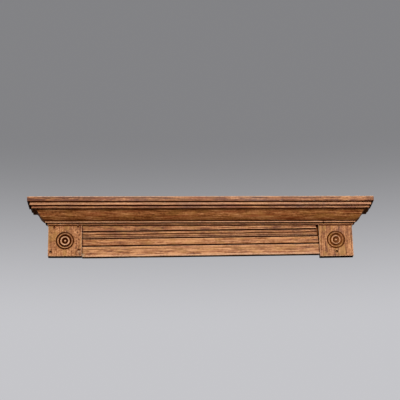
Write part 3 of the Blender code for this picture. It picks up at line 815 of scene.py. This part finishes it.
def make_frieze():
    """The reeded board, which climbs to the right. Its ends are cut to the blocks on either side."""
    left = -BLOCK_CENTRE + BLOCK_WIDTH / 2 + FRIEZE_END_GAP
    right = BLOCK_CENTRE - BLOCK_WIDTH / 2 / math.cos(RIGHT_BLOCK_TURN) - JOINT_GAP
    bottom = FRIEZE_BOTTOM_LEFT
    height = (CROWN_TOP - bottom) / math.cos(FRIEZE_TILT) - (right - left) * math.tan(FRIEZE_TILT)
    lean = math.tan(RIGHT_BLOCK_TURN)

    def ends(points):
        starts = points[:, 1] * math.tan(FRIEZE_TILT)
        rise = math.sin(FRIEZE_TILT) - math.cos(FRIEZE_TILT) * lean
        stops = right - left - bottom * lean + points[:, 1] * rise
        return starts, stops / (math.cos(FRIEZE_TILT) + math.sin(FRIEZE_TILT) * lean)
    place = Matrix.Translation((left, 0, bottom)) @ Matrix.Rotation(-FRIEZE_TILT, 4, "Y")
    middle_band = LOWER_BAND_HEIGHT + LOWER_BEAD_HEIGHT + LOWER_QUIRK_HEIGHT / 2
    reeds = middle_band + MIDDLE_BAND_HEIGHT + (LOWER_QUIRK_HEIGHT + MIDDLE_QUIRK_HEIGHT) / 2
    upper_band = reeds + sum(REED_HEIGHTS) + (MIDDLE_QUIRK_HEIGHT + UPPER_QUIRK_HEIGHT) / 2
    lower_quirk = LOWER_QUIRK_HEIGHT / 2
    middle_quirk = MIDDLE_QUIRK_HEIGHT / 2
    upper_quirk = UPPER_QUIRK_HEIGHT / 2
    # a rubbed lower arris that is partly a painted highlight, and painted shade with grime in the quirks
    painted_shading_and_grime = [
        (0.0030, 0.0066, 0.0, 0.6),
        (LOWER_BAND_HEIGHT - 0.0006, LOWER_BAND_HEIGHT + 0.0006, 0.5, 0.0),
        (middle_band - lower_quirk - 0.0003, middle_band + lower_quirk + 0.0009, 1.0, 0.0),
        (reeds - middle_quirk - 0.0002, reeds + middle_quirk + 0.0022, 1.0, 0.0),
        (upper_band - upper_quirk + 0.0006, upper_band + upper_quirk + 0.0018, 0.9, 0.0),
    ]
    valley = reeds + middle_quirk
    # rubbed reed crests, partly a painted highlight, and painted shade between the reeds
    for reed_height in REED_HEIGHTS:
        crest = valley + reed_height / 2
        painted_shading_and_grime.append((crest - 0.0010, crest + 0.0010, 0.0, 0.32))
        valley += reed_height
        if reed_height != REED_HEIGHTS[-1]:
            painted_shading_and_grime.append((valley - 0.0011, valley + 0.0011, 0.8, 0.0))
    frieze = board(
        "frieze_board_oak", frieze_outline(height), ends,
        oak(
            "frieze_board", 5, pith=(0, 0.04, 0.02), tone=0.52, red=0.7, streaky=2.9,
            crown_foot=CROWN_BOTTOM + 0.0024),
        15, place, end_round=0.0005,
        bites=((0.001, 0.009, -0.001, 0.013, 0.0022, 0.8),),
        tones=(
            (0, 0.26), (0.0066, 0.18), (LOWER_BAND_HEIGHT + 0.0035, 0.30), (middle_band, 0.05),
            (reeds - 0.0095, 0.18), (reeds, -0.15), (upper_band, -0.06)),
        stretches=(
            (-0.01, 0.0034, 0, 1, -0.8), (right - left - 0.0022, right - left + 0.01, 0, 1, -0.6),
            (-0.10, 0.30, upper_band, 1, -0.12), (0.60, 1.1, reeds, upper_band, -0.20),
            (-0.10, 0.30, reeds, upper_band, -0.06), (-0.10, 0.30, middle_band, reeds, -0.10),
            (0.25, 1.1, middle_band, reeds, 0.07)),
        painted_shading_and_grime=painted_shading_and_grime)
    bm = bmesh.new()
    bmesh.ops.create_cube(bm, size=1.0)
    depth = FRIEZE_THICKNESS - END_TONGUE_THICKNESS + WEDGE_CUTTER_REACH
    bm.transform(Matrix.Diagonal((BLOCK_WIDTH / 2, depth, height + 2 * WEDGE_CUTTER_REACH, 1.0)))
    bm.transform(Matrix.Translation((BLOCK_WIDTH / 4, -END_TONGUE_THICKNESS - depth / 2, height / 2)))
    start = bottom + (right - left) * math.sin(FRIEZE_TILT) + END_WEDGE_START
    wedge_place = Matrix.Translation((right - start * lean, 0, start))
    wedge_turn = Matrix.Rotation(-RIGHT_BLOCK_TURN - END_WEDGE_ANGLE, 4, "Y")
    # the saw cut in the wedge gap gets painted shade
    cut(frieze, cutter_of(bm, wedge_place @ wedge_turn), 0.4)
    finish_piece(frieze, "frieze_board")


def rosette_depth(radius):
    """How far the turned rings lie below the block's face, at these distances from their centre."""
    button, groove, bead, middle, outer, quirk, rim = np.cumsum(RING_WIDTHS)
    depth = np.zeros_like(radius)
    for i, r in enumerate(radius):
        if r < button:
            swell = math.cos(r / button * math.pi / 2)
            depth[i] = INNER_GROOVE_DEPTH - (INNER_GROOVE_DEPTH - BEAD_TOP_DEPTH) * swell
        elif r < groove:
            depth[i] = INNER_GROOVE_DEPTH
        elif r < bead:
            swell = math.sin((r - groove) / INNER_BEAD_WIDTH * math.pi)
            depth[i] = MIDDLE_GROOVE_DEPTH - (MIDDLE_GROOVE_DEPTH - BEAD_TOP_DEPTH) * swell
        elif r < middle:
            depth[i] = MIDDLE_GROOVE_DEPTH
        elif r < outer:
            swell = math.sin((r - middle) / OUTER_BEAD_WIDTH * math.pi)
            depth[i] = OUTER_GROOVE_DEPTH - (OUTER_GROOVE_DEPTH - BEAD_TOP_DEPTH) * swell
        elif r < quirk:
            depth[i] = OUTER_GROOVE_DEPTH
        elif r < rim:
            depth[i] = OUTER_GROOVE_DEPTH - (r - quirk) / RIM_WIDTH * OUTER_GROOVE_DEPTH
    return depth


def make_block(name, centre, below, turn, nail_holes, marks, ring_rub_and_highlight, painted_shading_and_grime, seed, material):
    """A corner block: rings of points spread from its bullseye over its face and round to its back.

    A mark is (right of the bullseye's centre, above it, its radius, how much lighter, how bare). The two
    numbers after the marks are how far the tops of the turned rings are rubbed, partly as a painted
    highlight, and how dark their grooves are painted, as shade and grime.
    """
    half = BLOCK_WIDTH / 2
    top = (CROWN_TOP - centre[1] - half * math.sin(turn)) / math.cos(turn) - BLOCK_TOP_GAP
    corners = [(-half, -below), (half, -below), (half, top), (-half, top)]
    outline = Outline(spaced(softened(corners, BLOCK_CORNER_RADIUS), BLOCK_OUTLINE_PITCH))
    rim = sum(RING_WIDTHS)
    angle = np.arctan2(outline.points[:, 1], outline.points[:, 0])
    circle = np.stack((np.cos(angle), np.sin(angle)), 1)
    bead_end = BUTTON_RADIUS + INNER_GROOVE_WIDTH + INNER_BEAD_WIDTH
    outer_crest = bead_end + MIDDLE_GROOVE_WIDTH + OUTER_BEAD_WIDTH / 2
    radii = np.linspace(0.0002, rim, ROSETTE_STEPS)
    flat, depth, edge, shade_and_grime = [], [], [], []
    for r, d in zip(radii, rosette_depth(radii)):
        flat.append(circle * r)
        depth.append(np.full(len(angle), d))
        on_button = r < BUTTON_RADIUS
        # ring tops near the face are lightened as rubbed: partly wear, partly a painted highlight
        rub_and_highlight_depth = BUTTON_RUB_AND_HIGHLIGHT_DEPTH if on_button else RING_RUB_AND_HIGHLIGHT_DEPTH
        rub_and_highlight_here = ring_rub_and_highlight * max(0.0, 1 - d / rub_and_highlight_depth) * (1 if r < bead_end else OUTER_RING_RUB_AND_HIGHLIGHT)
        edge.append(np.full(len(angle), rub_and_highlight_here))
        # the grooves get painted shade with grime, deeper grooves darker
        deep = painted_shading_and_grime * max(0.0, min(1.0, (d - UNDARKENED_DEPTH - BUTTON_UNDARKENED_EXTRA * on_button) / SHADE_AND_GRIME_DEPTH))
        if r > outer_crest:
            deep = max(0.0, min(RING_SHADE_AND_STAIN, d / OUTER_SHADE_AND_GRIME_DEPTH))
        shade_and_grime.append(np.full(len(angle), deep))
    arris = BLOCK_ARRIS_RADIUS
    inner = outline.points - outline.normal * arris
    for t in np.linspace(0, 1, BLOCK_FACE_STEPS)[1:]:
        flat.append(circle * rim * (1 - t) + inner * t)
        depth.append(np.zeros(len(angle)))
        edge.append(np.full(len(angle), 0.5 * (t == 1)))
    # painted shade in the joint with the reeded board starts from this ring of points on
    shaded_from = len(flat) + (1 if centre[0] < 0 else 3)
    # the last face ring and the arris are lightened as rubbed: partly wear, partly a painted highlight
    for k in range(1, ARRIS_STEPS + 1):
        a = math.pi / 2 * k / ARRIS_STEPS
        flat.append(inner + outline.normal * arris * math.sin(a))
        depth.append(np.full(len(angle), arris * (1 - math.cos(a))))
        edge.append(np.ones(len(angle)))
    for d in np.linspace(arris, BLOCK_THICKNESS - BLOCK_BACK_ARRIS, BLOCK_SIDE_STEPS)[1:]:
        flat.append(outline.points)
        depth.append(np.full(len(angle), d))
        edge.append(outline.edge)
    flat.append(outline.points - outline.normal * BLOCK_BACK_ARRIS)
    depth.append(np.full(len(angle), BLOCK_THICKNESS))
    edge.append(outline.edge)
    flat = np.array(flat)
    depth = np.array(depth)
    edge = np.array(edge)
    uneven = undulation(flat[:, :, 0] * 2, flat[:, :, 1], seed, BLOCK_UNEVENNESS) + BLOCK_UNEVENNESS
    depth = np.where(depth < BLOCK_THICKNESS - 0.001, depth + uneven * (1 + edge), depth)
    rings = np.stack((flat[:, :, 0], depth - BLOCK_THICKNESS, flat[:, :, 1]), 2)
    place = Matrix.Translation((centre[0], 0, centre[1])) @ Matrix.Rotation(-turn, 4, "Y")
    shade_and_grime = np.concatenate((shade_and_grime, np.zeros((len(edge) - len(shade_and_grime), len(angle)))))
    front = depth < BLOCK_THICKNESS / 2
    # painted shade and stain fading out from the bullseye's rim
    gap = np.abs(np.hypot(flat[:, :, 0], flat[:, :, 1]) - rim)
    shade_and_grime = np.maximum(shade_and_grime, front * np.clip(RING_SHADE_AND_STAIN - gap / RING_SHADE_AND_STAIN_REACH, 0, 1))
    for right, above in nail_holes:
        gap = np.hypot(flat[:, :, 0] - right, flat[:, :, 1] - above)
        shade_and_grime = np.maximum(shade_and_grime, front * np.clip(NAIL_STAIN - gap / NAIL_STAIN_REACH, 0, 1))
    # the block's side that faces the reeded board gets painted shade in the joint
    towards_middle = outline.normal[:, 0] * centre[0] < -TOWARDS_MIDDLE * BLOCK_CENTRE
    in_joint = towards_middle[None, :] & (np.arange(len(flat)) >= shaded_from)[:, None]
    shade_and_grime = np.where(in_joint, 1.0, shade_and_grime)
    edge = np.where(in_joint, 0.0, edge)
    bare = np.zeros(edge.shape)
    lightness = np.zeros(edge.shape)
    for right, above, radius, lighter, bared in marks:
        gap_squared = (flat[:, :, 0] - right) ** 2 + (flat[:, :, 1] - above) ** 2
        spot = front * np.exp(-gap_squared / radius ** 2)
        lightness += lighter * spot
        bare = np.maximum(bare, bared * spot)
    attributes = {"edge": edge, "shade_and_grime": shade_and_grime, "bare": bare, "lightness": lightness}
    block = solid(name + "_oak", rings, material, attributes, place)
    for right, above in nail_holes:
        bm = bmesh.new()
        bmesh.ops.create_cone(
            bm, cap_ends=True, segments=20, radius1=NAIL_HOLE_RADIUS * 0.8,
            radius2=NAIL_HOLE_RADIUS * 1.5, depth=2 * NAIL_HOLE_DEPTH)
        spot = Matrix.Translation((right, -BLOCK_THICKNESS, above))
        spot = spot @ Matrix.Rotation(math.pi / 2, 4, "X")
        cut(block, cutter_of(bm, place @ spot), 1.0)
    finish_piece(block, name)


def finish_piece(piece, node):
    """The piece stands for its CAD node, which it hides; it is shaded smooth and hung under the root body.
    """
    smooth(piece)
    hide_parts(node)
    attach(piece, "root")


# Stage: metres, watts and linear greys
FLOOR_BELOW = 2.1
FLOOR_RADIUS = 60.0
CAMERA_LENS = 128.4
SENSOR_WIDTH = 36.0
CAMERA_DISTANCE = 5.3
CAMERA_AZIMUTH = math.radians(-1.7)
CAMERA_ELEVATION = math.radians(-16.0)
CAMERA_ROLL = math.radians(-0.62)
LOOK_AT = Vector((-0.0015, -BLOCK_THICKNESS, 0.1550))
FLOOR_GREY = (0.60, 0.60, 0.62, 1.0)
BACKDROP = ((0.0, (0.56, 0.56, 0.585)), (1.0, (0.225, 0.225, 0.235)))
BACKDROP_HEIGHTS = (0.215, 0.345)
SKY = ((0.0, (0.012, 0.011, 0.010)), (1.0, (0.30, 0.30, 0.32)))
SKY_HEIGHTS = (-0.25, 0.6)
LIT_POINT = (0, 0, 0.03)

# Lights, as (name, place, width, height, watts)
LIGHTS = (
    ("key", (0.4, -4.4, 0.88), 2.4, 0.8, 180),
    ("low_front", (0.2, -4.3, -1.3), 3.4, 0.9, 22),
    ("back_fill", (1.2, 4.0, 2.4), 3.0, 2.0, 45),
    ("right_fill", (4.2, -0.9, 0.2), 2.0, 1.6, 26),
    ("left_fill", (-4.2, -0.9, 0.2), 2.0, 1.6, 26),
)


def make_stage():
    bm = bmesh.new()
    bmesh.ops.create_circle(bm, cap_ends=True, segments=96, radius=FLOOR_RADIUS)
    mesh = bpy.data.meshes.new("floor")
    bm.to_mesh(mesh)
    bm.free()
    floor = bpy.data.objects.new("floor", mesh)
    floor.location = (0, 0, -FLOOR_BELOW)
    floor.visible_diffuse = False
    floor.visible_glossy = False
    material = bpy.data.materials.new("floor")
    material.use_nodes = True
    shader = material.node_tree.nodes["Principled BSDF"]
    shader.inputs["Base Color"].default_value = FLOOR_GREY
    shader.inputs["Roughness"].default_value = 0.9
    mesh.materials.append(material)
    bpy.context.scene.collection.objects.link(floor)

    world = bpy.data.worlds.new("studio")
    world.use_nodes = True
    bpy.context.scene.world = world
    world.node_tree.nodes.clear()
    wiring = Wiring(world.node_tree)
    direction = wiring.node("ShaderNodeTexCoord").outputs["Generated"]
    height = wiring.node("ShaderNodeSeparateXYZ", {0: direction}).outputs["Z"]
    seen = wiring.ramp(wiring.span(height, *BACKDROP_HEIGHTS), BACKDROP)
    light = wiring.ramp(wiring.span(height, *SKY_HEIGHTS), SKY)
    seen = wiring.node("ShaderNodeBackground", {"Color": seen, "Strength": 1.0}).outputs[0]
    light = wiring.node("ShaderNodeBackground", {"Color": light, "Strength": 1.0}).outputs[0]
    camera_ray = wiring.node("ShaderNodeLightPath").outputs["Is Camera Ray"]
    mixed = wiring.node("ShaderNodeMixShader", {0: camera_ray, 1: light, 2: seen}).outputs[0]
    wiring.node("ShaderNodeOutputWorld", {"Surface": mixed})


def add_light(name, place, width, height, watts):
    lamp = bpy.data.lights.new(name, "AREA")
    lamp.shape = "RECTANGLE"
    lamp.size = width
    lamp.size_y = height
    lamp.energy = watts
    light = bpy.data.objects.new(name, lamp)
    light.location = place
    light.rotation_euler = (Vector(LIT_POINT) - Vector(place)).to_track_quat("-Z", "Y").to_euler()
    bpy.context.scene.collection.objects.link(light)


def make_camera():
    target = Vector((0, -BLOCK_THICKNESS, 0))
    level = math.cos(CAMERA_ELEVATION)
    aside = math.sin(CAMERA_AZIMUTH) * level
    back = Vector((aside, -math.cos(CAMERA_AZIMUTH) * level, math.sin(CAMERA_ELEVATION)))
    camera = bpy.data.objects.new("camera", bpy.data.cameras.new("camera"))
    camera.data.lens = CAMERA_LENS
    camera.data.sensor_width = SENSOR_WIDTH
    camera.data.clip_end = 200
    camera.location = target + back * CAMERA_DISTANCE
    aim = (LOOK_AT - camera.location).to_track_quat("-Z", "Y").to_matrix().to_4x4()
    aim = aim @ Matrix.Rotation(CAMERA_ROLL, 4, "Z")
    camera.rotation_euler = aim.to_euler()
    bpy.context.scene.collection.objects.link(camera)
    bpy.context.scene.camera = camera


make_cap()
make_crown()
make_frieze()
make_block(
    "corner_block_left", (-BLOCK_CENTRE, -LEFT_BULLSEYE_DROP), LEFT_BLOCK_BELOW_CENTRE, 0.0,
    LEFT_NAIL_HOLES, LEFT_MARKS, ring_rub_and_highlight=1.1, painted_shading_and_grime=0.92, seed=16,
    material=oak(
        "corner_block_left", 6, grain=UPRIGHT, pith=(0, 0.05, -0.40), tone=0.46, red=0.35, gold=0.5,
        streaky=1.6, mottled=1.8, recess_shade_and_grime=0.5, crown_foot=CROWN_BOTTOM))
make_block(
    "corner_block_right", (BLOCK_CENTRE, 0.0), RIGHT_BLOCK_BELOW_CENTRE, RIGHT_BLOCK_TURN,
    RIGHT_NAIL_HOLES, RIGHT_MARKS, ring_rub_and_highlight=0.60, painted_shading_and_grime=0.62, seed=17,
    material=oak(
        "corner_block_right", 7, grain=UPRIGHT, pith=(0, 0.05, 0.45), tone=0.50, red=0.22, gold=0.65,
        streaky=2.1, mottled=1.2, recess_shade_and_grime=0.5, crown_foot=CROWN_BOTTOM))
make_stage()
for light in LIGHTS:
    add_light(*light)
make_camera()
bpy.context.scene.view_settings.view_transform = "Standard"
